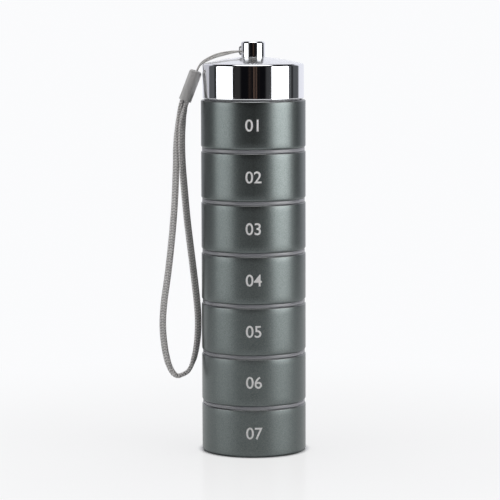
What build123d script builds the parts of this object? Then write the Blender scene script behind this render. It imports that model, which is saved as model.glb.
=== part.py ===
# Weekly pill box: cups that screw into each other, one for each day, a chrome cap with a knob,
# and a wrist lanyard hung from a wire bail on the knob.
# Millimetres, +Z up, origin at the centre of the bottom rim. The lanyard hangs on the -X side.
from build123d import *
import os
from math import cos, pi, radians, sin, sqrt, tan

# Cups
cup_count = 7
body_diameter = 38.0
cup_wall_height = 17.3          # bottom rim to shoulder
cup_top_edge = 0.5              # rounding of the shoulder's outer edge
cup_bottom_edge = 0.9           # rounding of the bottom outer edge
cavity_floor_radius = 3.0       # rounded corner that lets pills slide out
cup_floor = 1.2

# Screw joint between two cups, or between a cup and the cap
socket_wall = 2.1               # outside the root of the socket's thread
socket_end_gap = 0.4            # from the neck's top to the socket's ceiling
socket_lead_in = 0.3
thread_room = 0.7               # between the roots of the two threads
neck_wall = 1.4                 # inside the root of the neck's thread
neck_engaged = 4.2              # length of neck inside the socket
neck_lead_in = 0.4

# Flat seal ring at each joint
seal_thickness = 1.2
seal_recess = 0.35              # how far a ring between cups stands back from their wall
seal_edge = 0.25                # rounding of the ring's outer edges
seal_bore_clearance = 0.1

# Cap
cap_setback = 0.58              # how far its side stands back from the cup wall
cap_side_height = 11.55         # seat on its seal to where side and dome would meet
cap_edge = 1.0                  # rounding between side and dome
cap_skirt = 0.7                 # how far its side comes down round its seal
cap_skirt_wall = 0.55
cap_skirt_clearance = 0.2       # between the skirt and the seal
cap_rim_edge = 0.3
dome_radius = 62.0
dome_wall = 1.5
boss_diameter = 8.0
boss_height = 0.8               # below the inside of the dome, at the boss's edge

# Knob and its screw
knob_diameter = 8.7
knob_height = 5.7
knob_top_edge = 0.9
knob_bottom_edge = 0.15
screw_diameter = 3.0
screw_grip = 3.8                # thread length in the knob
screw_end_gap = 0.4
screw_hole_clearance = 0.1
screw_thread_clearance = 0.05
screw_head_diameter = 5.6
screw_head_height = 1.9
screw_head_edge = 0.8
screw_slot_width = 0.8
screw_slot_depth = 0.9

# Wire bail in the side of the knob, and the pocket behind it for the cord
bail_wire = 0.6
bail_span = 2.7                 # between the axes of its two legs
bail_reach = 0.49               # bar axis to knob wall
bail_bend = 0.5
bail_depth = 1.2                # length of a leg inside the knob
bail_centre_height = 2.35       # above the knob's foot
bail_hole_clearance = 0.02
bail_end_gap = 0.1
pocket_height = 1.1
pocket_clearance = 0.1

# Lanyard
cord_diameter = 0.6
cord_bar_clearance = 0.05
cord_drop = 0.35                # below the bail's middle, where the cord goes round the bar
cord_spacing = 0.8              # between the two strands where they run side by side
cord_rise = 0.4                 # how much higher the far strand runs than the near one
cord_lead = 1.6                 # straight out of the bead
strap_diameter = 1.9
strap_spacing = 2.3             # between the two strands where they enter the bead
strap_lead = 3.0                # straight out of the bead
bead_side = 4.3
bead_length = 11.66
bead_long_edge = 0.7
bead_top_edge = 1.2
bead_bottom_edge = 0.15
bead_turn = -15.0               # about its own axis
bead_tilt = 21.1                # from upright, its top leaning to the tower
bead_cap_gap = 0.222            # where its top leans towards the cap's side
bead_top_up = 9.33              # its top's middle, above the cap's seat
cord_entry = 0.3                # from the bead's axis, on the side towards the tower

# Worked out from the sizes above
body_radius = body_diameter / 2
socket_radius = body_radius - socket_wall
neck_radius = socket_radius - thread_room
cavity_radius = neck_radius - neck_wall
cap_radius = body_radius - cap_setback
skirt_radius = cap_radius - cap_skirt_wall
cup_seal_radius = body_radius - seal_recess
cap_seal_radius = skirt_radius - cap_skirt_clearance
knob_radius = knob_diameter / 2
cup_pitch = cup_wall_height + seal_thickness
socket_depth = neck_engaged + socket_end_gap
neck_top = cup_wall_height + seal_thickness + neck_engaged
cavity_bottom = socket_depth + cup_floor
seal_bore = neck_radius + seal_bore_clearance
cap_bottom = cup_count * cup_pitch
cap_side_top = cap_bottom + cap_side_height
dome_centre = cap_side_top - sqrt(dome_radius ** 2 - cap_radius ** 2)
dome_inside = dome_radius - dome_wall
turned = cos(radians(bead_turn)) + abs(sin(radians(bead_turn)))
bead_half = bead_side / 2 * turned - bead_long_edge * (turned - 1)
bead_lean = (bead_half - bead_top_edge) * cos(radians(bead_tilt)) - bead_top_edge * sin(radians(bead_tilt))
bead_top_out = bead_cap_gap + bead_lean + bead_top_edge


def dome_height(radius, sphere=dome_radius):
    # height of a dome, outside or inside, at this distance from the tower's axis
    return dome_centre + sqrt(sphere ** 2 - radius ** 2)


def corner(face, radius, height):
    # the vertex of an XZ profile that is nearest to this radius and height
    return face.vertices().sort_by_distance((radius, 0, height))[0]


def upright_profile(*points):
    # closed face in the XZ plane from (radius, height) points
    return make_face(Polyline([(radius, 0, height) for radius, height in points], close=True))


def bent_path(points, radii):
    # straight runs with a tangent arc at each corner
    return FilletPolyline(*points, radius=radii)


def arc_radii(points, share=0.45):
    # the largest arc that each corner's shorter run leaves room for
    runs = [Vector(b) - Vector(a) for a, b in zip(points, points[1:])]
    radii = []
    for before, after in zip(runs, runs[1:]):
        half_turn = radians(before.get_angle(after)) / 2
        radii.append(share * min(before.length, after.length) / tan(half_turn))
    return radii


def tube(points, diameter, name):
    # round tube along a bent path, with its volume set against section times length
    radii = arc_radii(points)
    path = bent_path(points, radii)
    section = Plane(origin=path @ 0, z_dir=path % 0) * Circle(diameter / 2)
    solid = sweep(section, path=path)
    ratio = solid.volume / (pi * diameter ** 2 / 4 * path.length)
    print(f"{name}: length {path.length:.1f}, volume ratio {ratio:.4f}, radii",
          [round(radius, 1) for radius in radii])
    return solid


def make_cup():
    # open cup with a neck on top, a socket underneath and a floor between, revolved
    face = upright_profile(
        (0, socket_depth),
        (socket_radius, socket_depth),
        (socket_radius, 0),
        (body_radius, 0),
        (body_radius, cup_wall_height),
        (neck_radius, cup_wall_height),
        (neck_radius, neck_top),
        (cavity_radius, neck_top),
        (cavity_radius, cavity_bottom),
        (0, cavity_bottom),
    )
    face = fillet(corner(face, body_radius, 0), cup_bottom_edge)
    face = fillet(corner(face, body_radius, cup_wall_height), cup_top_edge)
    face = fillet(corner(face, cavity_radius, cavity_bottom), cavity_floor_radius)
    face = chamfer(corner(face, socket_radius, 0), socket_lead_in)
    face = chamfer(corner(face, neck_radius, neck_top), neck_lead_in)
    return revolve(face, Axis.Z)


def make_seal(outer_radius):
    # flat ring with rounded outer edges that lies on a cup's shoulder, round its neck
    ring = extrude(Circle(outer_radius) - Circle(seal_bore), seal_thickness)
    outer_edges = ring.edges().filter_by(GeomType.CIRCLE).group_by(SortBy.RADIUS)[-1]
    return Pos(0, 0, cup_wall_height) * fillet(outer_edges, min(seal_edge, 0.45 * seal_thickness))


def make_cap():
    # thin shell: straight side with a skirt round the seal, domed top with a flat seat for the knob,
    # and a screw boss inside
    hole_radius = screw_diameter / 2 + screw_hole_clearance
    boss_radius = boss_diameter / 2
    seat = dome_height(knob_radius)
    boss_bottom = dome_height(boss_radius, dome_inside) - boss_height
    inside_corner = dome_height(socket_radius, dome_inside)
    outer_middle = (cap_radius + knob_radius) / 2
    inner_middle = (socket_radius + boss_radius) / 2
    rim = cap_bottom - cap_skirt
    outline = [
        Line((hole_radius, 0, boss_bottom), (hole_radius, 0, seat)),
        Line((hole_radius, 0, seat), (knob_radius, 0, seat)),
        ThreePointArc(
            (knob_radius, 0, seat),
            (outer_middle, 0, dome_height(outer_middle)),
            (cap_radius, 0, cap_side_top),
        ),
        Line((cap_radius, 0, cap_side_top), (cap_radius, 0, rim)),
        Line((cap_radius, 0, rim), (skirt_radius, 0, rim)),
        Line((skirt_radius, 0, rim), (skirt_radius, 0, cap_bottom)),
        Line((skirt_radius, 0, cap_bottom), (socket_radius, 0, cap_bottom)),
        Line((socket_radius, 0, cap_bottom), (socket_radius, 0, inside_corner)),
        ThreePointArc(
            (socket_radius, 0, inside_corner),
            (inner_middle, 0, dome_height(inner_middle, dome_inside)),
            (boss_radius, 0, boss_bottom + boss_height),
        ),
        Line((boss_radius, 0, boss_bottom + boss_height), (boss_radius, 0, boss_bottom)),
        Line((boss_radius, 0, boss_bottom), (hole_radius, 0, boss_bottom)),
    ]
    face = make_face(outline)
    face = fillet(corner(face, cap_radius, cap_side_top), cap_edge)
    face = fillet(corner(face, cap_radius, rim), min(cap_rim_edge, 0.9 * cap_skirt_wall))
    face = chamfer(corner(face, socket_radius, cap_bottom), socket_lead_in)
    return revolve(face, Axis.Z), seat, boss_bottom


def make_knob(foot, bar_x, leg_heights, cord_height):
    # turned knob with a blind screw hole, two holes for the bail and a pocket for the cord
    top = foot + knob_height
    hole_top = foot + screw_grip + screw_end_gap
    face = upright_profile(
        (screw_diameter / 2, foot),
        (knob_radius, foot),
        (knob_radius, top),
        (0, top),
        (0, hole_top),
        (screw_diameter / 2, hole_top),
    )
    face = fillet(corner(face, knob_radius, top), knob_top_edge)
    face = fillet(corner(face, knob_radius, foot), knob_bottom_edge)
    knob = revolve(face, Axis.Z)
    leg_hole = bail_wire / 2 + bail_hole_clearance
    leg_end = -knob_radius + bail_depth + bail_end_gap
    for height in leg_heights:
        start = Plane(origin=(bar_x, 0, height), z_dir=(1, 0, 0))
        knob -= extrude(start * Circle(leg_hole), leg_end - bar_x)
    pocket_radius = bail_wire / 2 + cord_bar_clearance + cord_diameter + pocket_clearance
    pocket = Cylinder(pocket_radius, pocket_height)
    return knob - Pos(bar_x, 0, cord_height) * pocket


def make_knob_screw(foot, boss_bottom):
    # slotted pan-head screw, from inside the cap up into the knob
    shank_radius = screw_diameter / 2 - screw_thread_clearance
    head_radius = screw_head_diameter / 2
    head_bottom = boss_bottom - screw_head_height
    face = upright_profile(
        (0, head_bottom),
        (head_radius, head_bottom),
        (head_radius, boss_bottom),
        (shank_radius, boss_bottom),
        (shank_radius, foot + screw_grip),
        (0, foot + screw_grip),
    )
    face = fillet(corner(face, head_radius, head_bottom), screw_head_edge)
    slot = Box(
        screw_head_diameter,
        screw_slot_width,
        screw_slot_depth,
        align=(Align.CENTER, Align.CENTER, Align.MIN),
    )
    return revolve(face, Axis.Z) - Pos(0, 0, head_bottom) * slot


def make_bail(bar_x, leg_heights):
    # bent wire: a bar outside the knob and two legs that go into it
    leg_end = -knob_radius + bail_depth
    low, high = leg_heights
    points = [(leg_end, 0, low), (bar_x, 0, low), (bar_x, 0, high), (leg_end, 0, high)]
    path = bent_path(points, bail_bend)
    section = Plane(origin=path @ 0, z_dir=path % 0) * Circle(bail_wire / 2)
    return sweep(section, path=path)


def hung(out, up, across=0.0):
    # a point of the lanyard in the tower's frame
    return (-cap_radius - out, across, cap_bottom + up)


def bead_frame():
    # the bead's own frame: origin in the middle of its top, Z along its axis
    return Pos(*hung(bead_top_out, bead_top_up)) * Rotation(0, bead_tilt, 0)


def in_bead(x, y, z):
    # a point of the bead's own frame in the tower's frame
    return tuple((bead_frame() * Pos(x, y, z)).position)


def make_bead():
    # square stop with rounded long edges and a rounded top
    block = Box(bead_side, bead_side, bead_length, align=(Align.CENTER, Align.CENTER, Align.MAX))
    block = fillet(block.edges().filter_by(Axis.Z), bead_long_edge)
    block = fillet(block.edges().group_by(Axis.Z)[-1], min(bead_top_edge, 0.45 * bead_side))
    block = fillet(block.edges().group_by(Axis.Z)[0], bead_bottom_edge)
    return bead_frame() * Rotation(0, 0, bead_turn) * block


# The lanyard's points, chosen by hand: how far out from the cap's side, and how far above its seat
cord_route = [
    (0.10, 12.25),
    (-2.35, 13.90),
    (-4.65, 15.05),
    (-6.85, 15.75),
    (-9.05, 16.15),
    (-11.15, 16.30),
]
strap_route = [
    (9.50, -8.60),
    (10.03, -16.50),
    (10.08, -26.50),
    (10.50, -39.50),
    (11.60, -52.50),
    (13.00, -65.00),
    (14.50, -76.00),
    (15.10, -85.00),
    (14.10, -94.50),
    (12.70, -99.60),
    (10.60, -102.60),
    (7.00, -102.70),
    (4.80, -99.70),
    (3.20, -94.50),
    (2.05, -87.00),
    (1.95, -79.00),
    (2.75, -69.50),
    (4.05, -57.50),
    (5.55, -45.50),
    (6.60, -34.50),
    (7.30, -24.50),
    (7.42, -15.50),
    (6.80, -8.50),
]


def make_lanyard_cord(bar_x, cord_height):
    # one thin cord: out of the bead's top, round the bail's bar and back into the bead
    turn = bail_wire / 2 + cord_bar_clearance + cord_diameter / 2
    half = cord_spacing / 2
    strands = []
    for side in (-1, 1):
        across = side * half
        rise = side * cord_rise / 2
        strand = [in_bead(cord_entry - rise, across, lead) for lead in (0, cord_lead)]
        strand += [hung(out, up + rise, across) for out, up in cord_route]
        strand.append((bar_x - turn, side * turn, cord_height))
        strand.append((bar_x + turn, side * turn, cord_height))
        strands.append(strand)
    return tube(strands[0] + strands[1][::-1], cord_diameter, "lanyard_cord")


def make_lanyard_strap():
    # one loop: out of the bead's foot, down, round and back up beside itself
    half = strap_spacing / 2
    leads = (-bead_length, -bead_length - strap_lead)
    points = [in_bead(-half, 0, lead) for lead in leads]
    points += [hung(out, up) for out, up in strap_route]
    points += [in_bead(half, 0, lead) for lead in reversed(leads)]
    return tube(points, strap_diameter, "lanyard_strap")


parts = {}
for day in range(1, cup_count + 1):
    place = Pos(0, 0, (cup_count - day) * cup_pitch)
    parts[f"cup_day{day}"] = place * make_cup()
    above, seal_radius = (f"day{day - 1}", cup_seal_radius) if day > 1 else ("cap", cap_seal_radius)
    parts[f"seal_under_{above}"] = place * make_seal(seal_radius)

cap, knob_foot, boss_bottom = make_cap()
bar_x = -knob_radius - bail_reach
bail_centre = knob_foot + bail_centre_height
leg_heights = (bail_centre - bail_span / 2, bail_centre + bail_span / 2)
cord_height = bail_centre - cord_drop

parts["cap_shell"] = cap
parts["knob"] = make_knob(knob_foot, bar_x, leg_heights, cord_height)
parts["knob_screw"] = make_knob_screw(knob_foot, boss_bottom)
parts["bail"] = make_bail(bar_x, leg_heights)
parts["lanyard_bead"] = make_bead()
parts["lanyard_cord"] = make_lanyard_cord(bar_x, cord_height)
parts["lanyard_strap"] = make_lanyard_strap()

os.makedirs("parts", exist_ok=True)
for name, solid in parts.items():
    export_step(solid, f"parts/{name}.step")
print(f"knob foot {knob_foot:.2f}, boss bottom {boss_bottom:.2f}, cord height {cord_height:.2f}")
print(f"{len(parts)} pieces, {knob_foot + knob_height:.2f} tall")
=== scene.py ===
# Weekly pill box: the looks of its seven threaded cups, its chrome cap and its wrist lanyard
import math

import bmesh
import bpy
import numpy as np
from mathutils import Matrix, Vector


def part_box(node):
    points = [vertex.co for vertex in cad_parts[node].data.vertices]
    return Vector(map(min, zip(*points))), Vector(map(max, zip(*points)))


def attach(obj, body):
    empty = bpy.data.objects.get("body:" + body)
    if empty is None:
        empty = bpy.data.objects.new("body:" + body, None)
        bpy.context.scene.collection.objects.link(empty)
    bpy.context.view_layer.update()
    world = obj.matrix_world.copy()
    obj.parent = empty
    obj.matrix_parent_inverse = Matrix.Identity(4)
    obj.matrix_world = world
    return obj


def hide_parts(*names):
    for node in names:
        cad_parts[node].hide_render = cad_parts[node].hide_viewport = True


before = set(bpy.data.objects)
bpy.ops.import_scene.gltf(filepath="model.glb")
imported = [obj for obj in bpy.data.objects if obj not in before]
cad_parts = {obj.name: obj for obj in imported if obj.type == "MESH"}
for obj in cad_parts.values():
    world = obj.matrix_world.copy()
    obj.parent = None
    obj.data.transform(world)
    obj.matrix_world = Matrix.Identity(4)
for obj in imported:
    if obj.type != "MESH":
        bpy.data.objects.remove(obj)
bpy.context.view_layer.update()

scene = bpy.context.scene
scene.view_settings.view_transform = "Standard"
mm = 0.001
days = range(1, 1 + sum(name.startswith("cup_day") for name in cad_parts))
print("frame:", len(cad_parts), "solids,", len(days), "cups")


# Camera

view = dict(
    place=(-1.3145 * mm, -867.02 * mm, 166.46 * mm),
    pitchDown=6.1269,            # degrees
    roll=-0.1672,
    lens=171.86,
    sensor=36.0,
)


def setCamera():
    camera = bpy.data.cameras.new("camera")
    camera.lens = view["lens"]
    camera.sensor_width = view["sensor"]
    eye = bpy.data.objects.new("camera", camera)
    tilt = Matrix.Rotation(math.radians(90 - view["pitchDown"]), 4, "X")
    roll = Matrix.Rotation(math.radians(view["roll"]), 4, "Z")
    eye.matrix_world = Matrix.Translation(view["place"]) @ tilt @ roll
    scene.collection.objects.link(eye)
    scene.camera = eye


setCamera()
print("camera set")


# Nodes and meshes

def setInputs(tree, node, inputs):
    # inputs by name or number: a socket is linked, anything else is set as a value
    for name, value in inputs.items():
        if isinstance(value, bpy.types.NodeSocket):
            tree.links.new(value, node.inputs[name])
        else:
            node.inputs[name].default_value = value


def addNode(tree, kind, inputs, **settings):
    # one node: settings are its own properties
    node = tree.nodes.new("ShaderNode" + kind)
    for name, value in settings.items():
        setattr(node, name, value)
    setInputs(tree, node, inputs)
    return node


def mixColour(tree, factor, first, second):
    # first where factor is 0, second where it is 1; either is a colour or a socket
    ends = [end if isinstance(end, bpy.types.NodeSocket) else (*end, 1) for end in (first, second)]
    return addNode(tree, "Mix", {"Factor": factor, 6: ends[0], 7: ends[1]}, data_type="RGBA").outputs[2]


def spread(tree, value, low, high, toLow, toHigh, smooth=True):
    # carries value from low..high to toLow..toHigh, clamped
    kind = "SMOOTHSTEP" if smooth else "LINEAR"
    ends = {"Value": value, "From Min": low, "From Max": high, "To Min": toLow, "To Max": toHigh}
    return addNode(tree, "MapRange", ends, interpolation_type=kind).outputs[0]


def maths(tree, operation, first, second=0.0):
    return addNode(tree, "Math", {0: first, 1: second}, operation=operation).outputs[0]


def both(tree, first, second):
    return maths(tree, "MULTIPLY", first, second)


def either(tree, first, second):
    return maths(tree, "MAXIMUM", first, second)


def rising(tree, value, middle, soft):
    # 0 below middle and 1 above it, easing over soft
    return spread(tree, value, middle - soft / 2, middle + soft / 2, 0.0, 1.0)


def falling(tree, value, middle, soft):
    # 1 below middle and 0 above it, easing over soft
    return spread(tree, value, middle - soft / 2, middle + soft / 2, 1.0, 0.0)


def between(tree, value, low, high, soft, softHigh=None):
    # 1 from low to high, easing to 0 over soft at each end
    return both(tree, rising(tree, value, low, soft), falling(tree, value, high, softHigh or soft))


def noiseAt(tree, spot, scale, detail):
    return addNode(tree, "TexNoise", {"Vector": spot, "Scale": scale, "Detail": detail}).outputs["Fac"]


def stretched(tree, spot, scale):
    # coordinates with a scale of their own along each axis
    return addNode(tree, "Mapping", {"Vector": spot, "Scale": scale}).outputs[0]


def readMark(tree, name):
    # a value that addPiece left at the points of a mesh
    return addNode(tree, "Attribute", {}, attribute_name=name).outputs["Fac"]


def roughen(tree, shader, height, strength, distance=0.02 * mm):
    # grain too fine for the mesh
    bump = addNode(tree, "Bump", {"Height": height, "Strength": strength, "Distance": distance})
    tree.links.new(bump.outputs[0], shader.inputs["Normal"])


def newFinish(name):
    # a material with one Principled shader: itself, its tree, its shader and its coordinates
    material = bpy.data.materials.new(name)
    material.use_nodes = True
    tree = material.node_tree
    place = tree.nodes.new("ShaderNodeTexCoord")
    return material, tree, tree.nodes["Principled BSDF"], place.outputs


def gridFaces(rows, columns, closeRows=False):
    # quads of a grid numbered row by row, each joining two neighbours in a row to the two in the next row
    i = np.arange(rows if closeRows else rows - 1)[:, None]
    j = np.arange(columns)[None, :]
    here, ahead = i * columns, (i + 1) % rows * columns
    beside = (j + 1) % columns
    return np.stack([here + j, ahead + j, ahead + beside, here + beside], -1).reshape(-1, 4).tolist()


def gridUv(columns, along):
    # the corners of every quad at (along, around): along is a length for each row, around goes from 0 to 1
    u = np.asarray(along)
    v = np.linspace(0, 1, columns + 1)
    first, second = u[:-1, None] + 0 * v[None, :-1], u[1:, None] + 0 * v[None, :-1]
    left, right = v[None, :-1] + 0 * u[:-1, None], v[None, 1:] + 0 * u[:-1, None]
    corners = [(first, left), (second, left), (second, right), (first, right)]
    return np.stack([np.stack(corner, -1) for corner in corners], 2).reshape(-1, 2)


meshing = dict(
    weld=0.0001 * mm,            # points closer than this are merged
    sharp=35,                    # degrees from which an edge is shaded sharp
)


def addPiece(name, points, faces, material, body, replaced=None, uv=None, marks=None):
    # an object at the origin whose place is in its mesh, with doubles at poles and seams merged;
    # marks are named values at its points that a finish reads
    mesh = bpy.data.meshes.new(name)
    mesh.from_pydata(points.reshape(-1, 3).tolist(), [], faces)
    if uv is not None:
        layer = mesh.uv_layers.new(name="surface")
        flat = np.zeros((len(mesh.loops), 2), np.float32)
        flat[:len(uv)] = uv
        layer.data.foreach_set("uv", flat.ravel())
    for mark, values in (marks or {}).items():
        mesh.attributes.new(mark, "FLOAT", "POINT").data.foreach_set("value", values.ravel())
    work = bmesh.new()
    work.from_mesh(mesh)
    bmesh.ops.remove_doubles(work, verts=work.verts, dist=meshing["weld"])
    work.to_mesh(mesh)
    work.free()
    mesh.shade_smooth()
    mesh.set_sharp_from_angle(angle=math.radians(meshing["sharp"]))
    mesh.materials.append(material)
    piece = bpy.data.objects.new(name, mesh)
    scene.collection.objects.link(piece)
    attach(piece, body)
    if replaced:
        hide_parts(replaced)
    return piece


def dressNode(node, material):
    # a solid that keeps its own shape gets its finish
    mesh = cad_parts[node].data
    mesh.materials.clear()
    mesh.materials.append(material)


def roundedOutline(corners, arcSteps=7):
    # points of an outline. A corner is (radius, height, rounding, steps to the next one), and its arc
    # touches both sides, rounding / tan(half the angle) away from it
    place = np.array([corner[:2] for corner in corners], float)
    pieces = []
    for i, (_, _, rounding, steps) in enumerate(corners):
        here = place[i]
        if rounding:
            back = place[i - 1] - here
            ahead = place[i + 1] - here
            back, ahead = back / np.linalg.norm(back), ahead / np.linalg.norm(ahead)
            half = math.acos(np.clip(back @ ahead, -1, 1)) / 2
            centre = here + (back + ahead) / np.linalg.norm(back + ahead) * rounding / math.sin(half)
            first = here + back * rounding / math.tan(half) - centre
            last = here + ahead * rounding / math.tan(half) - centre
            swing = math.pi - 2 * half
            t = np.linspace(0, 1, arcSteps)[:, None]
            arc = (np.sin((1 - t) * swing) * first + np.sin(t * swing) * last) / math.sin(swing)
            pieces.append((centre + arc, steps))
        else:
            pieces.append((here[None, :], steps))
    joined = []
    for i, (points, steps) in enumerate(pieces):
        joined.append(points)
        if i + 1 < len(pieces) and steps > 1:
            t = np.linspace(0, 1, steps + 1)[1:-1, None]
            joined.append(points[-1] + (pieces[i + 1][0][0] - points[-1]) * t)
    return np.concatenate(joined)


def turnedSurface(outline, columns, shift=0.0):
    # the outline carried round Z: x = r cos a, y = r sin a, with r moved by shift at each row and column
    angle = np.linspace(0, 2 * np.pi, columns, endpoint=False)
    radius = outline[:, :1] + shift
    height = outline[:, 1:] + 0 * angle
    return np.stack([radius * np.cos(angle), radius * np.sin(angle), height], -1) * mm


def smoothStep(x):
    x = np.clip(x, 0, 1)
    return x * x * (3 - 2 * x)


# Studio: a white cove behind, a soft box at each side, a light overhead, dark towards the camera.
# Its turns are degrees round from the camera, its heights degrees above the horizon

studio = dict(
    backdrop=(0.962, 0.966, 0.978),  # as the camera sees it
    dark=(0.004, 0.004, 0.005),
    streak=(0.110, 0.072, 0.055),    # faint warm glints behind the camera
    streakScale=0.22,
    streakSpan=(0.45, 0.70),         # of the noise, from none of it to all of it
    streakFrom=-10.0,
    streakTo=15.0,
    streakSoft=6.0,
    veilLeft=(0.030, 0.029, 0.029),  # a grey screen at each side of the camera
    veilRight=(0.048, 0.049, 0.051),
    veilFrom=29.0,
    veilTo=44.0,
    veilSoft=6.0,
    sideDark=(0.095, 0.100, 0.105),
    sideFrom=60.0,
    sideTo=75.0,
    sideTop=34.0,
    sideSoft=8.0,
    sideGap=(0.028, 0.030, 0.032),   # a darker gap beside each box
    gapLeft=(90.0, 99.0),
    gapRight=(96.0, 103.0),
    boxLeft=(2.62, 2.65, 2.67),
    boxRight=(4.90, 4.93, 4.95),
    leftFrom=48.0,
    leftTo=91.0,
    rightFrom=43.5,
    rightTo=87.0,
    rightSoft=5.0,
    boxFoot=-15.0,
    footSoft=8.0,
    boxTop=18.0,
    boxFade=18.0,                    # how softly a box ends at its top
    cove=(0.87, 0.88, 0.94),         # as polished metal shows it
    coveLeft=(0.56, 0.56, 0.60),
    coveLeftFrom=121.0,
    coveLeftTo=158.0,
    coveLeftSoft=16.0,
    coveRightFrom=125.5,
    coveSoft=8.0,
    coveTop=34.0,
    overhead=(2.90, 2.90, 2.93),
    overheadFrom=67.0,
    topSoft=6.0,
    soft=3.0,
)


def lightStudio():
    # each light is laid over the ones before it
    s = studio
    world = bpy.data.worlds.new("studio")
    world.use_nodes = True
    scene.world = world
    tree = world.node_tree
    place = tree.nodes.new("ShaderNodeTexCoord").outputs
    way = addNode(tree, "SeparateXYZ", {"Vector": place["Generated"]}).outputs
    toCamera = maths(tree, "MULTIPLY", way["Y"], -1.0)
    turn = maths(tree, "DEGREES", maths(tree, "ARCTAN2", way["X"], toCamera))
    rise = maths(tree, "DEGREES", maths(tree, "ARCSINE", way["Z"]))
    away = maths(tree, "ABSOLUTE", turn)

    noise = {"W": turn, "Scale": s["streakScale"], "Detail": 3.0}
    glint = addNode(tree, "TexNoise", noise, noise_dimensions="1D").outputs["Fac"]
    glint = spread(tree, glint, *s["streakSpan"], 0.0, 1.0)
    glint = both(tree, glint, between(tree, turn, s["streakFrom"], s["streakTo"], s["streakSoft"]))
    colour = mixColour(tree, glint, s["dark"], s["streak"])
    veil = between(tree, turn, -s["veilTo"], -s["veilFrom"], s["veilSoft"])
    colour = mixColour(tree, veil, colour, s["veilLeft"])
    veil = between(tree, turn, s["veilFrom"], s["veilTo"], s["veilSoft"])
    colour = mixColour(tree, veil, colour, s["veilRight"])

    sides = spread(tree, away, s["sideFrom"], s["sideTo"], 0.0, 1.0)
    sides = both(tree, sides, falling(tree, rise, s["sideTop"], s["sideSoft"]))
    gapLeft = between(tree, turn, -s["gapLeft"][1], -s["gapLeft"][0], s["soft"])
    gapRight = between(tree, turn, *s["gapRight"], s["soft"])
    side = mixColour(tree, either(tree, gapLeft, gapRight), s["sideDark"], s["sideGap"])
    colour = mixColour(tree, sides, colour, side)
    tall = between(tree, rise, s["boxFoot"], s["boxTop"], s["footSoft"], s["boxFade"])
    left = between(tree, turn, -s["leftTo"], -s["leftFrom"], s["soft"])
    colour = mixColour(tree, both(tree, left, tall), colour, s["boxLeft"])
    right = between(tree, turn, s["rightFrom"], s["rightTo"], s["rightSoft"], s["soft"])
    colour = mixColour(tree, both(tree, right, tall), colour, s["boxRight"])

    low = falling(tree, rise, s["coveTop"], s["topSoft"])
    front = between(tree, turn, -s["coveLeftFrom"], s["coveRightFrom"], s["coveSoft"])
    behind = maths(tree, "SUBTRACT", 1.0, front)
    colour = mixColour(tree, both(tree, behind, low), colour, s["cove"])
    shaded = between(tree, turn, -s["coveLeftTo"], -s["coveLeftFrom"], s["coveLeftSoft"], s["coveSoft"])
    colour = mixColour(tree, both(tree, shaded, low), colour, s["coveLeft"])
    above = rising(tree, rise, s["overheadFrom"], s["topSoft"])
    colour = mixColour(tree, above, colour, s["overhead"])

    rays = tree.nodes.new("ShaderNodeLightPath").outputs
    seen = either(tree, rays["Is Camera Ray"], rays["Is Transmission Ray"])
    colour = mixColour(tree, seen, colour, s["backdrop"])
    tree.links.new(colour, tree.nodes["Background"].inputs["Color"])


ground = dict(
    radius=600.0,
    rings=9,
    columns=96,
    colour=(0.98, 0.982, 0.99),
    bounce=(0.60, 0.60, 0.605),      # what it throws back on dull surfaces
    white=(1.0, 1.0, 1.0),
    glow=0.70,                       # share of its own white that the camera and metal see near the object
    paintedShadowFrom=18.6 * mm,             # no glow under the tower and close round its foot: a painted contact shadow
    paintedShadowTo=21.2 * mm,
    glowNear=30 * mm,
    glowFar=220 * mm,                # from here on it is the backdrop
    gloss=0.20,
    glossRoughness=0.16,
    glossNear=60 * mm,
    glossFar=260 * mm,
)


def layFloor():
    # a flat disc of rings, a little glossy round the object, that fades into the backdrop at its rim
    g = ground
    material, tree, shader, place = newFinish("paleFloor")
    tree.nodes.remove(shader)
    flat = addNode(tree, "VectorMath", {0: place["Object"]}, operation="LENGTH").outputs["Value"]
    rays = tree.nodes.new("ShaderNodeLightPath").outputs
    tone = mixColour(tree, rays["Is Diffuse Ray"], g["colour"], g["bounce"])
    dull = addNode(tree, "BsdfDiffuse", {"Color": tone})
    shine = addNode(tree, "BsdfGlossy", {"Color": (1, 1, 1, 1), "Roughness": g["glossRoughness"]})
    gloss = spread(tree, flat, g["glossNear"], g["glossFar"], g["gloss"], 0.0)
    lit = addNode(tree, "MixShader", {0: gloss, 1: dull.outputs[0], 2: shine.outputs[0]})
    far = spread(tree, flat, g["glowNear"], g["glowFar"], 0.0, 1.0)
    glow = addNode(tree, "Emission", {"Color": mixColour(tree, far, g["white"], studio["backdrop"])})
    seen = either(tree, rays["Is Glossy Ray"], rays["Is Transmission Ray"])
    seen = either(tree, rays["Is Camera Ray"], seen)
    # painted contact shadow: the glow fades out by radius towards the tower's foot
    seen = both(tree, seen, spread(tree, flat, g["paintedShadowFrom"], g["paintedShadowTo"], 0.0, 1.0))
    share = both(tree, seen, spread(tree, far, 0.0, 1.0, g["glow"], 1.0, smooth=False))
    surface = addNode(tree, "MixShader", {0: share, 1: lit.outputs[0], 2: glow.outputs[0]})
    tree.links.new(surface.outputs[0], tree.nodes["Material Output"].inputs["Surface"])
    points = turnedSurface(np.linspace((0, 0), (g["radius"], 0), g["rings"]), g["columns"])
    mesh = bpy.data.meshes.new("floor")
    mesh.from_pydata(points.reshape(-1, 3).tolist(), [], gridFaces(*points.shape[:2]))
    mesh.materials.append(material)
    floor = bpy.data.objects.new("floor", mesh)
    scene.collection.objects.link(floor)


lightStudio()
layFloor()
print("studio lit")


# Finishes: a pair holds what a noise goes between

span = (0.3, 0.7)                # most of a noise's values

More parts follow.
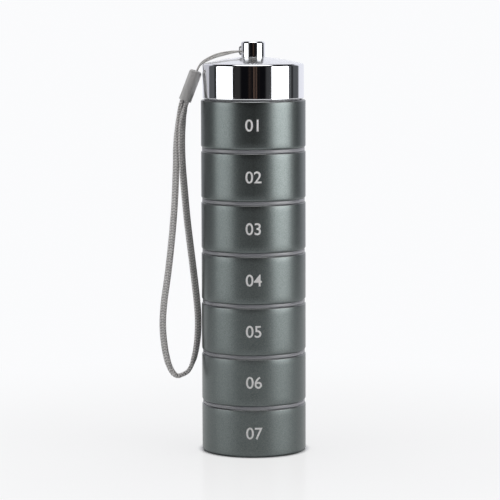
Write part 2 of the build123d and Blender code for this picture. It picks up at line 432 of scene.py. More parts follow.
anodise = dict(
    dye=((0.100, 0.116, 0.114), (0.118, 0.135, 0.132)),
    dyeScale=55.0,
    speck=(0.23, 0.25, 0.247),
    speckScale=3400.0,
    speckSpan=(0.35, 0.65),
    speckShare=0.35,
    wearAndHighlight=(0.40, 0.41, 0.41),
    wearAndHighlightSpan=(0.3, 0.6),
    wearAndHighlightShare=(0.6, 1.0),
    ringScale=(60.0, 60.0, 9000.0),
    roughness=(0.345, 0.375),
    grainScale=7000.0,
    grainDepth=0.06,
)


def anodisedAluminium():
    # dyed satin metal: blasted grain, faint turning rings, slow drift of tone, and a paler top edge that is
    # partly wear and partly a painted highlight
    f = anodise
    material, tree, shader, place = newFinish("anodisedAluminium")
    spot = place["Object"]
    speck = noiseAt(tree, spot, f["speckScale"], 4.0)
    rings = noiseAt(tree, stretched(tree, spot, f["ringScale"]), 1.0, 2.0)
    colour = mixColour(tree, noiseAt(tree, spot, f["dyeScale"], 2.0), *f["dye"])
    specks = spread(tree, speck, *f["speckSpan"], 0.0, f["speckShare"])
    colour = mixColour(tree, specks, colour, f["speck"])
    # the paler top edge: partly wear, partly a painted highlight of the overhead light on the rounded rim
    wearAndHighlight = both(tree, readMark(tree, "wear_and_highlight"), spread(tree, speck, *f["wearAndHighlightSpan"], *f["wearAndHighlightShare"]))
    setInputs(tree, shader, {
        "Base Color": mixColour(tree, wearAndHighlight, colour, f["wearAndHighlight"]),
        "Roughness": spread(tree, rings, *span, *f["roughness"]),
        "Metallic": 1.0,
    })
    roughen(tree, shader, noiseAt(tree, spot, f["grainScale"], 3.0), f["grainDepth"])
    return material


plating = dict(
    tint=((0.84, 0.845, 0.875), (0.88, 0.885, 0.91)),
    hazeScale=260.0,
    hazeSpan=(0.35, 0.75),
    roughness=(0.05, 0.08),
    upwards=(0.94, 0.96),        # of the normal's Z, from polished to satin
    satin=0.15,
    sheen=0.50,
    sheenRoughness=0.3,
)


def mirrorChrome():
    # polished plating with a trace of wiping haze, satin on what faces up
    f = plating
    material, tree, shader, place = newFinish("mirrorChrome")
    haze = noiseAt(tree, place["Object"], f["hazeScale"], 4.0)
    polish = spread(tree, haze, *f["hazeSpan"], *f["roughness"])
    facing = addNode(tree, "SeparateXYZ", {"Vector": place["Normal"]}).outputs["Z"]
    facing = spread(tree, facing, *f["upwards"], 0.0, 1.0)
    setInputs(tree, shader, {
        "Base Color": mixColour(tree, haze, *f["tint"]),
        "Roughness": addNode(tree, "Mix", {"Factor": facing, "A": polish, "B": f["satin"]}).outputs[0],
        "Metallic": 1.0,
        "Sheen Weight": both(tree, facing, f["sheen"]),
        "Sheen Roughness": f["sheenRoughness"],
    })
    return material


brushing = dict(
    streakScale=(900.0, 900.0, 6000.0),
    dimmer=0.88,
)


def brushedSteel(name, base, roughness):
    # drawn or turned steel: fine streaks along X and Y change how it shines
    material, tree, shader, place = newFinish(name)
    streak = noiseAt(tree, stretched(tree, place["Object"], brushing["streakScale"]), 1.0, 3.0)
    dim = tuple(brushing["dimmer"] * part for part in base)
    setInputs(tree, shader, {
        "Base Color": mixColour(tree, streak, dim, base),
        "Roughness": spread(tree, streak, *span, *roughness),
        "Metallic": 1.0,
    })
    return material


rubber = dict(
    tint=((0.245, 0.247, 0.267), (0.290, 0.292, 0.312)),
    cloudScale=240.0,
    roughness=(0.30, 0.40),
    specular=0.9,
    grainScale=5000.0,
    grainDepth=0.08,
)


def greySilicone():
    # soft grey rubber: slightly cloudy, with a fine grain and a soft shine
    f = rubber
    material, tree, shader, place = newFinish("greySilicone")
    cloud = noiseAt(tree, place["Object"], f["cloudScale"], 4.0)
    setInputs(tree, shader, {
        "Base Color": mixColour(tree, cloud, *f["tint"]),
        "Roughness": spread(tree, cloud, *span, *f["roughness"]),
        "Specular IOR Level": f["specular"],
    })
    roughen(tree, shader, noiseAt(tree, place["Object"], f["grainScale"], 2.0), f["grainDepth"])
    return material


moulding = dict(
    tint=((0.59, 0.580, 0.568), (0.65, 0.639, 0.626)),
    cloudScale=320.0,
    roughness=(0.27, 0.36),
    specular=0.8,
    sparkScale=6500.0,
    sparkDepth=0.12,
)


def greyPlastic():
    # moulded bead: satin skin with fine spark texture
    f = moulding
    material, tree, shader, place = newFinish("greyPlastic")
    cloud = noiseAt(tree, place["Object"], f["cloudScale"], 3.0)
    setInputs(tree, shader, {
        "Base Color": mixColour(tree, cloud, *f["tint"]),
        "Roughness": spread(tree, cloud, *span, *f["roughness"]),
        "Specular IOR Level": f["specular"],
    })
    spark = addNode(tree, "TexVoronoi", {"Vector": place["Object"], "Scale": f["sparkScale"]})
    roughen(tree, shader, spark.outputs["Distance"], f["sparkDepth"])
    return material


spinning = dict(
    fibreScale=1400.0,           # along the yarn
    fibreDepth=0.35,
    fibreRise=0.05 * mm,
    dimmer=0.82,
    driftScale=420.0,
    driftSpan=(0.35, 0.75),
    driftShare=0.12,
    roughness=0.6,
    sheen=0.2,
)


def braidYarn(name, pale, deepToneAndShade, fibres):
    # spun yarn: fibres run along the piece's UV, so many of them round it, with painted shade in its
    # furrows where its depth mark says, a dark drift of tone at random, and soft sheen
    f = spinning
    material, tree, shader, place = newFinish(name)
    fibre = noiseAt(tree, stretched(tree, place["UV"], (f["fibreScale"], fibres, 1.0)), 1.0, 3.0)
    dim = tuple(f["dimmer"] * part for part in pale)
    colour = mixColour(tree, spread(tree, fibre, *span, 0.0, 1.0), dim, pale)
    drift = noiseAt(tree, place["Object"], f["driftScale"], 2.0)
    colour = mixColour(tree, spread(tree, drift, *f["driftSpan"], 0.0, f["driftShare"]), colour, deepToneAndShade)
    setInputs(tree, shader, {
        # painted shade: the yarn goes to its dark colour in the furrows that the depth mark gives
        "Base Color": mixColour(tree, readMark(tree, "depth"), colour, deepToneAndShade),
        "Roughness": f["roughness"],
        "Sheen Weight": f["sheen"],
    })
    roughen(tree, shader, fibre, f["fibreDepth"], f["fibreRise"])
    return material


etching = dict(
    tint=((0.91, 0.893, 0.885), (0.97, 0.952, 0.945)),
    speckScale=5200.0,
    roughness=0.6,
)


def etchedMark():
    # pale mark burned into the dye, dull and a little speckled
    f = etching
    material, tree, shader, place = newFinish("etchedMark")
    speck = noiseAt(tree, place["Object"], f["speckScale"], 3.0)
    setInputs(tree, shader, {
        "Base Color": mixColour(tree, speck, *f["tint"]),
        "Roughness": f["roughness"],
    })
    return material


anodised = anodisedAluminium()
chrome = mirrorChrome()
steel = brushedSteel("turnedSteel", (0.62, 0.62, 0.63), (0.18, 0.32))
wire = brushedSteel("drawnWire", (0.40, 0.40, 0.41), (0.26, 0.38))
silicone = greySilicone()
plastic = greyPlastic()
mark = etchedMark()
print("finishes mixed")


# Screw threads

thread = dict(
    pitch=2.0,
    depth=0.5,
    crest=0.22,                  # half width at the top of the ridge
    foot=0.62,                   # half width at its root
    runOut=0.14,                 # turns over which an end fades away
    firstTurn=0.85,              # from the shoulder, in turns, clear of the seal
    lastTurn=2.45,
    socketOffset=0.5,            # turns by which a socket's ridge follows the neck's
    within=0.01,                 # an outline's point this near the root's radius carries the ridge
)


def threadRidge(height, columns, shoulder, offset):
    # a right-hand ridge, 0 at its root and 1 at its crest: its middle climbs one pitch for each turn,
    # z = shoulder + pitch * (turns + offset), its flanks are straight and its ends fade away
    t = thread
    angle = np.linspace(0, 1, columns, endpoint=False)[None, :]
    climbed = (height[:, None] - shoulder) / t["pitch"] - offset
    turns = angle + np.round(climbed - angle)
    away = np.abs(climbed - turns) * t["pitch"]
    ridge = np.clip((t["foot"] - away) / (t["foot"] - t["crest"]), 0, 1)
    start = smoothStep((turns + offset - t["firstTurn"]) / t["runOut"])
    end = smoothStep((t["lastTurn"] - turns - offset) / t["runOut"])
    return ridge * start * end


# Cups

cup = dict(
    columns=192,
    threadSteps=46,
    cavityRadius=14.8,
    cavityCorner=3.0,
    cavityBottom=5.8,            # heights from the cup's bottom rim
    lipEdge=0.18,
    neckRadius=16.2,
    neckLeadIn=0.4,
    neckEdge=0.12,
    neckRoot=0.06,
    shoulder=17.3,
    topEdge=0.5,
    wearAndHighlightDepth=0.6,               # how far down from the shoulder its edge is paler: wear and a painted highlight
    wearAndHighlightFrom=17.4,               # radius from which the edge is paler
    bottomEdge=0.9,
    socketRadius=16.9,
    socketLeadIn=0.3,
    socketEdge=0.1,
    socketDepth=4.6,
    socketCorner=0.08,
    threadEnd=0.1,               # no ridge this near the shoulder or the socket's ceiling
)


def cupOutline(wall, neckTop):
    # from the middle of the cavity's floor over the neck, down the wall and into the socket to its ceiling
    c = cup
    return roundedOutline([
        (0, c["cavityBottom"], 0, 6),
        (c["cavityRadius"], c["cavityBottom"], c["cavityCorner"], 6),
        (c["cavityRadius"], neckTop, c["lipEdge"], 1),
        (c["neckRadius"] - c["neckLeadIn"], neckTop, c["neckEdge"], 1),
        (c["neckRadius"], neckTop - c["neckLeadIn"], c["neckEdge"], c["threadSteps"]),
        (c["neckRadius"], c["shoulder"], c["neckRoot"], 3),
        (wall, c["shoulder"], c["topEdge"], 8),
        (wall, 0, c["bottomEdge"], 3),
        (c["socketRadius"] + c["socketLeadIn"], 0, c["socketEdge"], 1),
        (c["socketRadius"], c["socketLeadIn"], c["socketEdge"], c["threadSteps"]),
        (c["socketRadius"], c["socketDepth"], c["socketCorner"], 6),
        (0, c["socketDepth"], 0, 1),
    ])


def makeCup(day):
    # the outline carried round Z, with a ridge on the neck and one in the socket
    c = cup
    t = thread
    low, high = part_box(f"cup_day{day}")
    foot = low.z / mm
    outline = cupOutline(high.x / mm, high.z / mm - foot)
    outline[:, 1] += foot
    radius, height = outline.T
    shoulder = foot + c["shoulder"]
    ceiling = foot + c["socketDepth"]
    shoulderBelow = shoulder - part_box("cup_day1")[0].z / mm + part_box("cup_day2")[0].z / mm
    onNeck = (height > shoulder + c["threadEnd"]) & (radius > c["neckRadius"] - t["within"])
    inSocket = (height < ceiling - c["threadEnd"]) & (radius < c["socketRadius"] + t["within"])
    male = threadRidge(height, c["columns"], shoulder, 0.0)
    female = threadRidge(height, c["columns"], shoulderBelow, t["socketOffset"])
    shift = t["depth"] * (male * onNeck[:, None] - female * inSocket[:, None])
    points = turnedSurface(outline, c["columns"], shift)
    # paler top edge rows: partly wear, partly a painted highlight
    wear_and_highlight = smoothStep(1 - (shoulder - height) / c["wearAndHighlightDepth"]) * (radius > c["wearAndHighlightFrom"])
    addPiece(
        f"cup{day}", points, gridFaces(*points.shape[:2]), anodised,
        f"day{day}", f"cup_day{day}",
        marks={"wear_and_highlight": np.repeat(wear_and_highlight, c["columns"])},
    )


for day in days:
    makeCup(day)
print("cups turned")


# Seals: a flat ring whose edge bulges, with a lip squeezed up round the edge of the piece above

seal = dict(
    columns=160,
    bore=16.3,
    topEdge=0.10,
    bottomEdge=0.25,
    bulge=0.06,
    bulgeWidth=1.0,
    lip=0.15,
    lipWidth=0.35,
)


def makeSeal(above):
    # r grows by bulge * (1 - m^2) near the edge, where m goes from -1 at the bottom to 1 at the top
    low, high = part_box(f"seal_under_{above}")
    outer = high.x / mm
    bore = seal["bore"]
    bottom, top = low.z / mm, high.z / mm
    lip = 0.0 if above == "cap" else seal["lip"]
    outline = roundedOutline([
        (bore, top, 0, 6),
        (outer - seal["lipWidth"], top, 0, 3),
        (outer, top + lip, seal["topEdge"], 4),
        (outer, bottom, seal["bottomEdge"], 6),
        (bore, bottom, 0, 1),
    ])
    middle = (outline[:, 1] - (bottom + top) / 2) / (top - bottom) * 2
    outline[:, 0] += seal["bulge"] * (1 - middle ** 2) * (outline[:, 0] > outer - seal["bulgeWidth"])
    points = turnedSurface(outline, seal["columns"])
    faces = gridFaces(*points.shape[:2], closeRows=True)
    addPiece(
        f"seal_{above}", points, faces, silicone,
        f"{above}_seal", f"seal_under_{above}",
    )


for above in ["cap"] + [f"day{day}" for day in days[:-1]]:
    makeSeal(above)
print("seals laid")


# Cap and knob

cap = dict(
    columns=256,
    arcSteps=14,
    domeSteps=40,
    threadSteps=90,
    undersideSteps=24,
    socketRadius=16.9,
    leadIn=0.3,
    leadInEdge=0.1,
    threadedHeight=5.0,          # heights from the seal
    rimEdge=0.42,
    skirtWall=0.55,              # the skirt hangs round the seal
    skirtEdge=0.08,
    sideHeight=11.75,
    edge=0.85,
    crown=0.32,                  # how far the dome bulges from a straight line
    insideRadius=60.5,
    insideHeight=9.98,           # of the underside, if it went on to the side
    holeRadius=1.6,
    bossRadius=4.0,
    bossHeight=0.8,
    bossEdge=0.15,
    bossSink=0.05,               # how far under the underside its outline starts
    seatRadius=4.35,
)


def makeCap():
    # outline: knob seat, dome (a line that bulges by crown * 4 t (1 - t)), rounded edge, side, skirt,
    # threaded socket, underside (a circle of insideRadius), screw boss and its hole
    c = cap
    low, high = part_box("cap_shell")
    side, rim = high.x / mm, low.z / mm
    sealBottom, sealTop = [corner.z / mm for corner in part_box("seal_under_cap")]
    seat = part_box("knob")[0].z / mm
    inside = c["insideRadius"]
    middle = sealTop + c["insideHeight"] - math.sqrt(inside ** 2 - side ** 2)

    def ceiling(radius):
        return middle + math.sqrt(inside ** 2 - radius ** 2)

    outer = roundedOutline([
        (c["holeRadius"], seat, 0, 1),
        (c["seatRadius"], seat, 0, c["domeSteps"]),
        (side, sealTop + c["sideHeight"], c["edge"], 6),
        (side, rim, c["rimEdge"], 1),
        (side - c["skirtWall"], rim, c["skirtEdge"], 1),
        (side - c["skirtWall"], sealTop, c["skirtEdge"], 1),
        (c["socketRadius"] + c["leadIn"], sealTop, c["leadInEdge"], 1),
        (c["socketRadius"], sealTop + c["leadIn"], c["leadInEdge"], c["threadSteps"]),
        (c["socketRadius"], ceiling(c["socketRadius"]), 0, 1),
    ], c["arcSteps"])
    t = np.clip((outer[:, 0] - c["seatRadius"]) / (side - c["seatRadius"]), 0, 1)
    outer[:, 1] += c["crown"] * 4 * t * (1 - t) * (outer[:, 1] > sealTop + c["sideHeight"] - c["edge"])
    ends = [math.asin(c[end] / inside) for end in ("socketRadius", "bossRadius")]
    under = np.linspace(*ends, c["undersideSteps"])[1:]
    underside = np.stack([inside * np.sin(under), middle + inside * np.cos(under)], -1)
    bossBottom = ceiling(c["bossRadius"]) - c["bossHeight"]
    boss = roundedOutline([
        (c["bossRadius"], ceiling(c["bossRadius"]) - c["bossSink"], 0, 1),
        (c["bossRadius"], bossBottom, c["bossEdge"], 1),
        (c["holeRadius"], bossBottom, 0, 1),
    ])
    outline = np.concatenate([outer, underside, boss])
    radius, height = outline.T
    onRoot = np.abs(radius - c["socketRadius"]) < thread["within"]
    inSocket = onRoot & (height < sealTop + c["threadedHeight"])
    female = threadRidge(height, c["columns"], sealBottom, thread["socketOffset"])
    points = turnedSurface(outline, c["columns"], -thread["depth"] * female * inSocket[:, None])
    faces = gridFaces(*points.shape[:2], closeRows=True)
    addPiece("cap", points, faces, chrome, "cap", "cap_shell")


knob = dict(
    columns=192,
    arcSteps=14,
    topEdge=0.9,
    footEdge=0.15,
    screwRadius=1.5,
    screwDepth=4.2,
    pocketRadius=1.35,           # round the bail's bar, for the cord behind it
    pocketHalf=0.55,
    pocketStep=0.001,            # height in which the wall steps in
    barX=-4.84,                  # bail's bar
    cordHeight=145.70,
)


def makeKnob():
    # outline: top, side, foot and screw hole. Behind the bail's bar the side is moved in to the wall of a
    # pocket, a circle of pocketRadius round the bar: r = barX cos a - sqrt(pocketRadius^2 - (barX sin a)^2)
    k = knob
    low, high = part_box("knob")
    wall, foot, top = high.x / mm, low.z / mm, high.z / mm
    under, over = k["cordHeight"] - k["pocketHalf"], k["cordHeight"] + k["pocketHalf"]
    step = k["pocketStep"]
    outline = roundedOutline([
        (0, top, 0, 8),
        (wall, top, k["topEdge"], 6),
        (wall, over, 0, 1),
        (wall, over - step, 0, 8),
        (wall, under + step, 0, 1),
        (wall, under, 0, 6),
        (wall, foot, k["footEdge"], 3),
        (k["screwRadius"], foot, 0, 1),
        (k["screwRadius"], foot + k["screwDepth"], 0, 1),
        (0, foot + k["screwDepth"], 0, 1),
    ], k["arcSteps"])
    radius, height = outline.T
    angle = np.linspace(0, 2 * np.pi, k["columns"], endpoint=False)[None, :]
    room = k["pocketRadius"] ** 2 - (k["barX"] * np.sin(angle)) ** 2
    pocket = k["barX"] * np.cos(angle) - np.sqrt(np.maximum(room, 0))
    cut = (room > 0) & (np.cos(angle) < 0) & (pocket < wall)
    inBand = (radius > wall - step) & (height < over - step / 2) & (height > under + step / 2)
    cut = cut & inBand[:, None]
    points = turnedSurface(outline, k["columns"], np.where(cut, pocket - wall, 0.0))
    faces = gridFaces(*points.shape[:2])
    addPiece("knobTop", points, faces, chrome, "cap", "knob")


makeCap()
makeKnob()
dressNode("knob_screw", steel)
dressNode("bail", wire)
print("cap and knob plated")


# Lanyard routes: how far out from the cap's side, how far above its seal, and how far behind the middle

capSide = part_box("cap_shell")[1].x / mm
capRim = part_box("seal_under_cap")[1].z / mm
lanyard = dict(
    beadTop=(2.18, 9.33),        # middle of the bead's top, out and up
    beadTilt=21.1,               # degrees from upright
    beadTurn=-20.0,              # about its own axis
    beadLength=11.66,
    cordTurn=0.70,               # bar's axis to cord's axis
    cordEntry=0.3,
    cordSpacing=0.8,
    cordLeads=(-0.9, 0.3, 1.6),  # heights over the bead's top
    strapSpacing=1.70,
    strapAside=0.05,             # one end behind the other
    strapLead=2.0,
    strapTuck=1.0,               # length hidden in the bead's foot
)
cordRoute = [                    # last, how much higher the far strand runs
    (0.14, 12.20, 0.40),
    (-2.35, 13.60, 0.65),
    (-4.65, 14.60, 0.78),
    (-6.85, 15.20, 0.78),
    (-9.05, 15.66, 0.60),
    (-11.15, 16.03, 0.30),
]
strapRoute = [                   # last, how far behind the middle it runs
    (8.95, -8.60, 1.00),
    (9.75, -16.50, 1.20),
    (9.75, -26.50, 1.10),
    (10.30, -39.50, 0.40),
    (11.45, -52.50, 0.00),
    (12.90, -65.00, 0.00),
    (14.60, -76.00, 0.00),
    (15.10, -85.00, 0.00),
    (14.00, -94.50, 0.00),
    (12.30, -100.10, 0.00),
    (10.05, -102.85, 0.00),
    (7.60, -102.00, 0.00),
    (5.50, -100.80, 0.00),
    (3.85, -97.20, 0.00),
    (2.68, -92.50, 0.00),
    (1.96, -86.00, 0.00),
    (1.96, -79.00, 0.00),
    (2.90, -69.50, 0.00),
    (4.30, -57.50, 0.00),
    (5.75, -45.50, 0.00),
    (6.65, -34.50, -0.40),
    (7.45, -24.50, -1.00),
    (7.65, -15.50, -1.10),
    (7.25, -8.50, -0.95),
]


def hung(out, up, across=0.0):
    return (-capSide - out, across, capRim + up)


def inBead(points):
    # points of the bead's own frame (Z up its axis, origin in the middle of its top) in the part's frame
    lean = math.radians(lanyard["beadTilt"])
    x, y, z = np.moveaxis(np.asarray(points, float), -1, 0)
    inwards = x * math.cos(lean) + z * math.sin(lean)
    upwards = z * math.cos(lean) - x * math.sin(lean)
    return np.stack([inwards, y, upwards], -1) + np.array(hung(*lanyard["beadTop"]))


def cordPoints():
    # out of the bead's top, round the bail's bar and back
    d = lanyard
    turn = d["cordTurn"]
    strands = []
    for side in (-1, 1):
        across = side * d["cordSpacing"] / 2
        leads = [(d["cordEntry"], across, lead) for lead in d["cordLeads"]]
        strand = [tuple(point) for point in inBead(leads)]
        strand += [hung(out, up + side * rise / 2, across) for out, up, rise in cordRoute]
        strand += [(knob["barX"] + end * turn, side * turn, knob["cordHeight"]) for end in (-1, 1)]
        strands.append(strand)
    return strands[0] + strands[1][::-1]


def strapPoints():
    # out of the bead's foot, down, round and back up beside itself
    d = lanyard
    half = d["strapSpacing"] / 2
    leads = [d["strapTuck"] - d["beadLength"], -d["beadLength"], -d["beadLength"] - d["strapLead"]]
    first = [tuple(point) for point in inBead([(-half, d["strapAside"], lead) for lead in leads])]
    last = [tuple(point) for point in inBead([(half, -d["strapAside"], lead) for lead in leads[::-1]])]
    return first + [hung(*point) for point in strapRoute] + last


def runAlong(points):
    # how far along a line of points each of them is
    return np.append(0, np.cumsum(np.linalg.norm(np.diff(points, axis=0), axis=1)))


def pointsAt(points, run, wanted):
    # points at the wanted lengths along a line of points
    return np.stack([np.interp(wanted, run, part) for part in points.T], -1)


def splinePath(name, route, step):
    # evenly spaced points, step apart, on the NURBS spline whose control points are the route
    curve = bpy.data.curves.new(name, "CURVE")
    curve.dimensions = "3D"
    spline = curve.splines.new("NURBS")
    spline.points.add(len(route) - 1)
    spline.points.foreach_set("co", np.append(np.array(route), np.ones((len(route), 1)), 1).ravel())
    spline.order_u = 3
    spline.use_endpoint_u = True
    spline.resolution_u = 24
    holder = bpy.data.objects.new(name, curve)
    scene.collection.objects.link(holder)
    line = bpy.data.meshes.new_from_object(holder)
    points = np.zeros(len(line.vertices) * 3)
    line.vertices.foreach_get("co", points)
    points = points.reshape(-1, 3)
    bpy.data.objects.remove(holder)
    bpy.data.meshes.remove(line)
    run = runAlong(points)
    even = np.linspace(0, run[-1], int(round(run[-1] / step)) + 1)
    return pointsAt(points, run, even), even


def pathFrame(path, reference):
    # two directions across a path at each of its points, the first of them also across the reference
    ahead = np.gradient(path, axis=0)
    ahead /= np.linalg.norm(ahead, axis=1)[:, None]
    sideways = np.cross(np.array(reference, float), ahead)
    sideways /= np.linalg.norm(sideways, axis=1)[:, None]
    return sideways, np.cross(ahead, sideways)


def cappedTube(points):
    # faces of a tube with both its ends closed
    rows, columns = points.shape[:2]
    first = list(range(columns))[::-1]
    last = list(range((rows - 1) * columns, rows * columns))
    return gridFaces(rows, columns) + [first, last]


# Cord: three plies laid round each other

cordYarn = dict(
    diameter=0.75,
    lay=1.8,
    plies=3,
    furrow=0.16,
    columns=18,
    step=0.06,
    reference=(-0.5, 0.0, 0.86),
    pale=(0.84, 0.82, 0.79),
    # dark yarn tone for random drift, also the colour of the painted shade in the furrows
    deepToneAndShade=(0.34, 0.33, 0.32),
    fibres=14.0,
)


def makeCord():
    # r = radius * (1 - furrow * (1 - |cos(plies / 2 * (around - 2 pi along / lay))|))
    c = cordYarn
    path, run = splinePath("cordRoute", cordPoints(), c["step"])
    sideways, upwards = pathFrame(path, c["reference"])
    around = np.linspace(0, 2 * np.pi, c["columns"], endpoint=False)[None, :]
    phase = c["plies"] / 2 * (around - 2 * np.pi * run[:, None] / c["lay"])
    depth = 1 - np.abs(np.cos(phase))
    radius = c["diameter"] / 2 * (1 - c["furrow"] * depth)
    across = np.cos(around)[..., None] * sideways[:, None] + np.sin(around)[..., None] * upwards[:, None]
    points = (path[:, None] + radius[..., None] * across) * mm
    yarn = braidYarn("cordYarn", c["pale"], c["deepToneAndShade"], c["fibres"])
    # the depth mark paints shade into the furrows between the plies
    piece = addPiece(
        "cord", points, cappedTube(points), yarn,
        "cap", "lanyard_cord",
        uv=gridUv(c["columns"], run * mm), marks={"depth": depth ** 2},
    )
    return piece, path * mm, run[-1] * mm


# Strap: flat tube knitted in ribs

strap = dict(
    width=2.50,
    thickness=1.56,
    square=3.2,                  # exponent of the section's superellipse
    sectionSteps=1441,           # before its points are evenly spaced
    ribs=8,                      # round the tube
    stitch=1.02,                 # length of one stitch
    stagger=0.30,                # how much further on a stitch is in every second rib, in stitches
    spread=0.12,                 # how far the two legs of a stitch lean apart, in stitches
    valley=0.4,                  # height at the edge of a rib, as a share of its middle's
    relief=0.11,
    level=0.55,                  # height that lies on the section
    furrowShadeFrom=0.60,             # painted shade darkens the yarn below this height
    furrowShadeFade=0.80,
    columns=56,
    step=0.12,
    reference=(0.0, 1.0, 0.0),
    pale=(0.96, 0.932, 0.908),
    # dark yarn tone for random drift, also the colour of the painted shade in the furrows
    deepToneAndShade=(0.120, 0.117, 0.115),
    fibres=60.0,
    stations=(                   # shares of its length
        0, 0.012, 0.05, 0.076, 0.102, 0.139, 0.40, 0.45, 0.485,
        0.51, 0.53, 0.545, 0.60, 0.66, 0.88, 0.95, 0.975, 0.99, 1,
    ),
    turns=(                      # degrees from facing the front
        105, 100, 80, 62, 46, 37, 36, 36, 52,
        84, 84, 58, 34, 27, 25, 27, 58, 86, 96,
    ),
)


def strapSection():
    # points evenly spaced round |x / a|^n + |y / b|^n = 1, and the directions that point out of it
    c = strap
    a, b, n = c["width"] / 2, c["thickness"] / 2, c["square"]
    angle = np.linspace(0, 2 * np.pi, c["sectionSteps"])
    reach = (np.abs(np.cos(angle) / a) ** n + np.abs(np.sin(angle) / b) ** n) ** (-1 / n)
    fine = np.stack([reach * np.cos(angle), reach * np.sin(angle)], -1)
    run = runAlong(fine)
    section = pointsAt(fine, run, np.linspace(0, run[-1], c["columns"], endpoint=False))
    scaled = section / (a, b)
    outwards = np.sign(scaled) * np.abs(scaled) ** (n - 1) / (a, b)
    return section, outwards / np.linalg.norm(outwards, axis=1)[:, None]


def makeStrap():
    # flat section turned along the way. Across a rib f and along a stitch g go from -1/2 to 1/2,
    # and the yarn stands cos(pi g) (valley + (1 - valley) cos(pi f)) high
    c = strap
    path, run = splinePath("strapRoute", strapPoints(), c["step"])
    sideways, upwards = pathFrame(path, c["reference"])
    share = run / run[-1]
    stations, turns = np.array(c["stations"]), np.radians(c["turns"])
    leg = np.clip(np.searchsorted(stations, share, side="right") - 1, 0, len(stations) - 2)
    ease = smoothStep((share - stations[leg]) / (stations[leg + 1] - stations[leg]))
    turn = (turns[leg] + (turns[leg + 1] - turns[leg]) * ease)[:, None]
    wide = np.cos(turn) * sideways + np.sin(turn) * upwards
    thin = np.cos(turn) * upwards - np.sin(turn) * sideways
    v = np.linspace(0, 1, c["columns"], endpoint=False)[None, :]
    rib = c["ribs"] * v
    f = rib - np.floor(rib) - 0.5
    row = run[:, None] / c["stitch"] + c["stagger"] * (np.floor(rib) % 2) + 2 * c["spread"] * np.abs(f)
    g = row - np.round(row)
    height = np.cos(np.pi * g) * (c["valley"] + (1 - c["valley"]) * np.cos(np.pi * f))
    lift = c["relief"] * (height - c["level"])
    # painted shade: the depth mark darkens the yarn where it lies low between stitches and ribs
    depth = smoothStep((c["furrowShadeFrom"] - height) / c["furrowShadeFade"])
    section, outwards = strapSection()
    across = section[None] + lift[..., None] * outwards[None]
    points = (path[:, None] + across[..., :1] * wide[:, None] + across[..., 1:] * thin[:, None]) * mm
    yarn = braidYarn("strapYarn", c["pale"], c["deepToneAndShade"], c["fibres"])
    piece = addPiece(
        "strap", points, cappedTube(points), yarn,
        "cap", "lanyard_strap",
        uv=gridUv(c["columns"], run * mm), marks={"depth": depth},
    )
    return piece, path * mm, run[-1] * mm


# Bead: rounded square stop, with a hole in its top for the cord and an open foot for the strap

bead = dict(
    half=2.15,
    columns=96,
    square=3.0,                  # exponent of the section's superellipse
    topEdge=1.0,
    topDrop=1.0,                 # height of the domed top's edge
    topSteps=20,
    sideSteps=24,
    footEdge=0.15,
    hole=0.85,
    holeDepth=1.6,
    holeEdge=0.12,
    innerEdge=0.1,
    squareWidth=0.9,             # from the round hole to the square section
    squareDepth=1.7,             # below this all of it is square
    wall=0.32,
    footDepth=2.2,
)


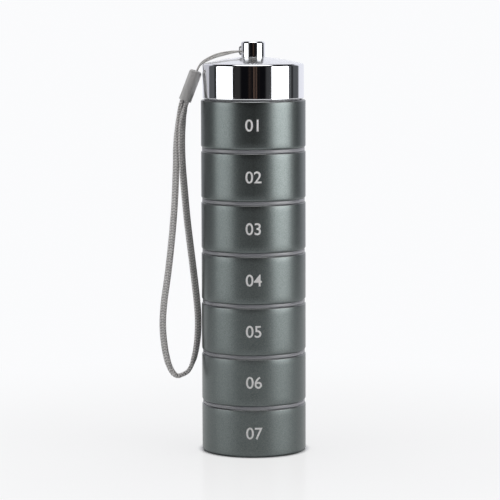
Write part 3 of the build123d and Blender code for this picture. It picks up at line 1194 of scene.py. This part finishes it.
def makeBead():
    # section |x|^n + |y|^n = size^n carried down the axis; n goes from 2 at the round hole
    # to square on the side
    c = bead
    length = lanyard["beadLength"]
    top = roundedOutline([
        (0, -c["holeDepth"], 0, 3),
        (c["hole"], -c["holeDepth"], c["innerEdge"], 3),
        (c["hole"], 0, c["holeEdge"], 1),
        (c["half"] - c["topEdge"], 0, 0, 1),
    ])
    swing = np.linspace(0, math.pi / 2, c["topSteps"])[1:-1]
    outwards = c["half"] + c["topEdge"] * (np.sin(swing) - 1)
    shoulder = np.stack([outwards, c["topDrop"] * (np.cos(swing) - 1)], -1)
    side = roundedOutline([
        (c["half"], -c["topDrop"], 0, c["sideSteps"]),
        (c["half"], -length, c["footEdge"], 1),
        (c["half"] - c["wall"], -length, c["innerEdge"], 3),
        (c["half"] - c["wall"], c["footDepth"] - length, c["innerEdge"], 4),
        (0, c["footDepth"] - length, 0, 1),
    ])
    outline = np.concatenate([top, shoulder, side])
    size, height = outline.T[..., None]
    angle = np.linspace(0, 2 * np.pi, c["columns"], endpoint=False)[None, :]
    blend = smoothStep((size - c["hole"]) / c["squareWidth"])
    blend = np.where(height > -c["squareDepth"], blend, 1.0)
    power = 2 + (c["square"] - 2) * blend
    reach = size / (np.abs(np.cos(angle)) ** power + np.abs(np.sin(angle)) ** power) ** (1 / power)
    turned = angle + math.radians(lanyard["beadTurn"])
    x = reach * np.cos(turned) + lanyard["cordEntry"] * (1 - blend)
    points = inBead(np.stack([x, reach * np.sin(turned), height + 0 * angle], -1)) * mm
    faces = gridFaces(*points.shape[:2])
    return addPiece("bead", points, faces, plastic, "cap", "lanyard_bead")


beadPiece = makeBead()
cordPiece, cordPath, cordLength = makeCord()
strapPiece, strapPath, strapLength = makeStrap()
print(f"lanyard strung: cord {cordLength / mm:.1f} mm, strap {strapLength / mm:.1f} mm")


# Numerals, one pair on each cup

numeral = dict(
    height=4.4,
    fontShare=0.73,              # height of a figure as a share of the font's size
    bolder=0.06,
    proud=0.02,
    halfWidth=5.0,
    slice=0.4,                   # width of the flat strips that bend
    weld=0.001,
)


def makeNumeral(day):
    # flat text bent round the wall: x becomes an angle of x / radius, y a height, depth a radius
    n = numeral
    low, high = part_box(f"cup_day{day}")
    radius = high.x
    font = bpy.data.curves.new("numeral", "FONT")
    font.body = f"0{day}"
    font.size = n["height"] / n["fontShare"] * mm
    font.align_x = "CENTER"
    font.align_y = "CENTER"
    font.extrude = n["proud"] * mm
    font.offset = n["bolder"] * mm
    holder = bpy.data.objects.new("numeral", font)
    scene.collection.objects.link(holder)
    flat = bpy.data.meshes.new_from_object(holder)
    bpy.data.objects.remove(holder)
    work = bmesh.new()
    work.from_mesh(flat)
    bmesh.ops.remove_doubles(work, verts=work.verts, dist=n["weld"] * mm)
    for x in np.arange(-n["halfWidth"], n["halfWidth"], n["slice"]) * mm:
        parts = work.verts[:] + work.edges[:] + work.faces[:]
        bmesh.ops.bisect_plane(work, geom=parts, plane_co=(x, 0, 0), plane_no=(1, 0, 0))
    work.to_mesh(flat)
    work.free()
    points = np.zeros(len(flat.vertices) * 3)
    flat.vertices.foreach_get("co", points)
    x, y, z = points.reshape(-1, 3).T
    faces = [list(face.vertices) for face in flat.polygons]
    bpy.data.meshes.remove(flat)
    middle = low.z + cup["shoulder"] * mm / 2
    reach, angle = radius + z, x / radius
    bent = np.stack([reach * np.sin(angle), -reach * np.cos(angle), middle + y], -1)
    addPiece(f"numeral{day}", bent, faces, mark, f"day{day}")


for day in days:
    makeNumeral(day)
print("numerals marked")
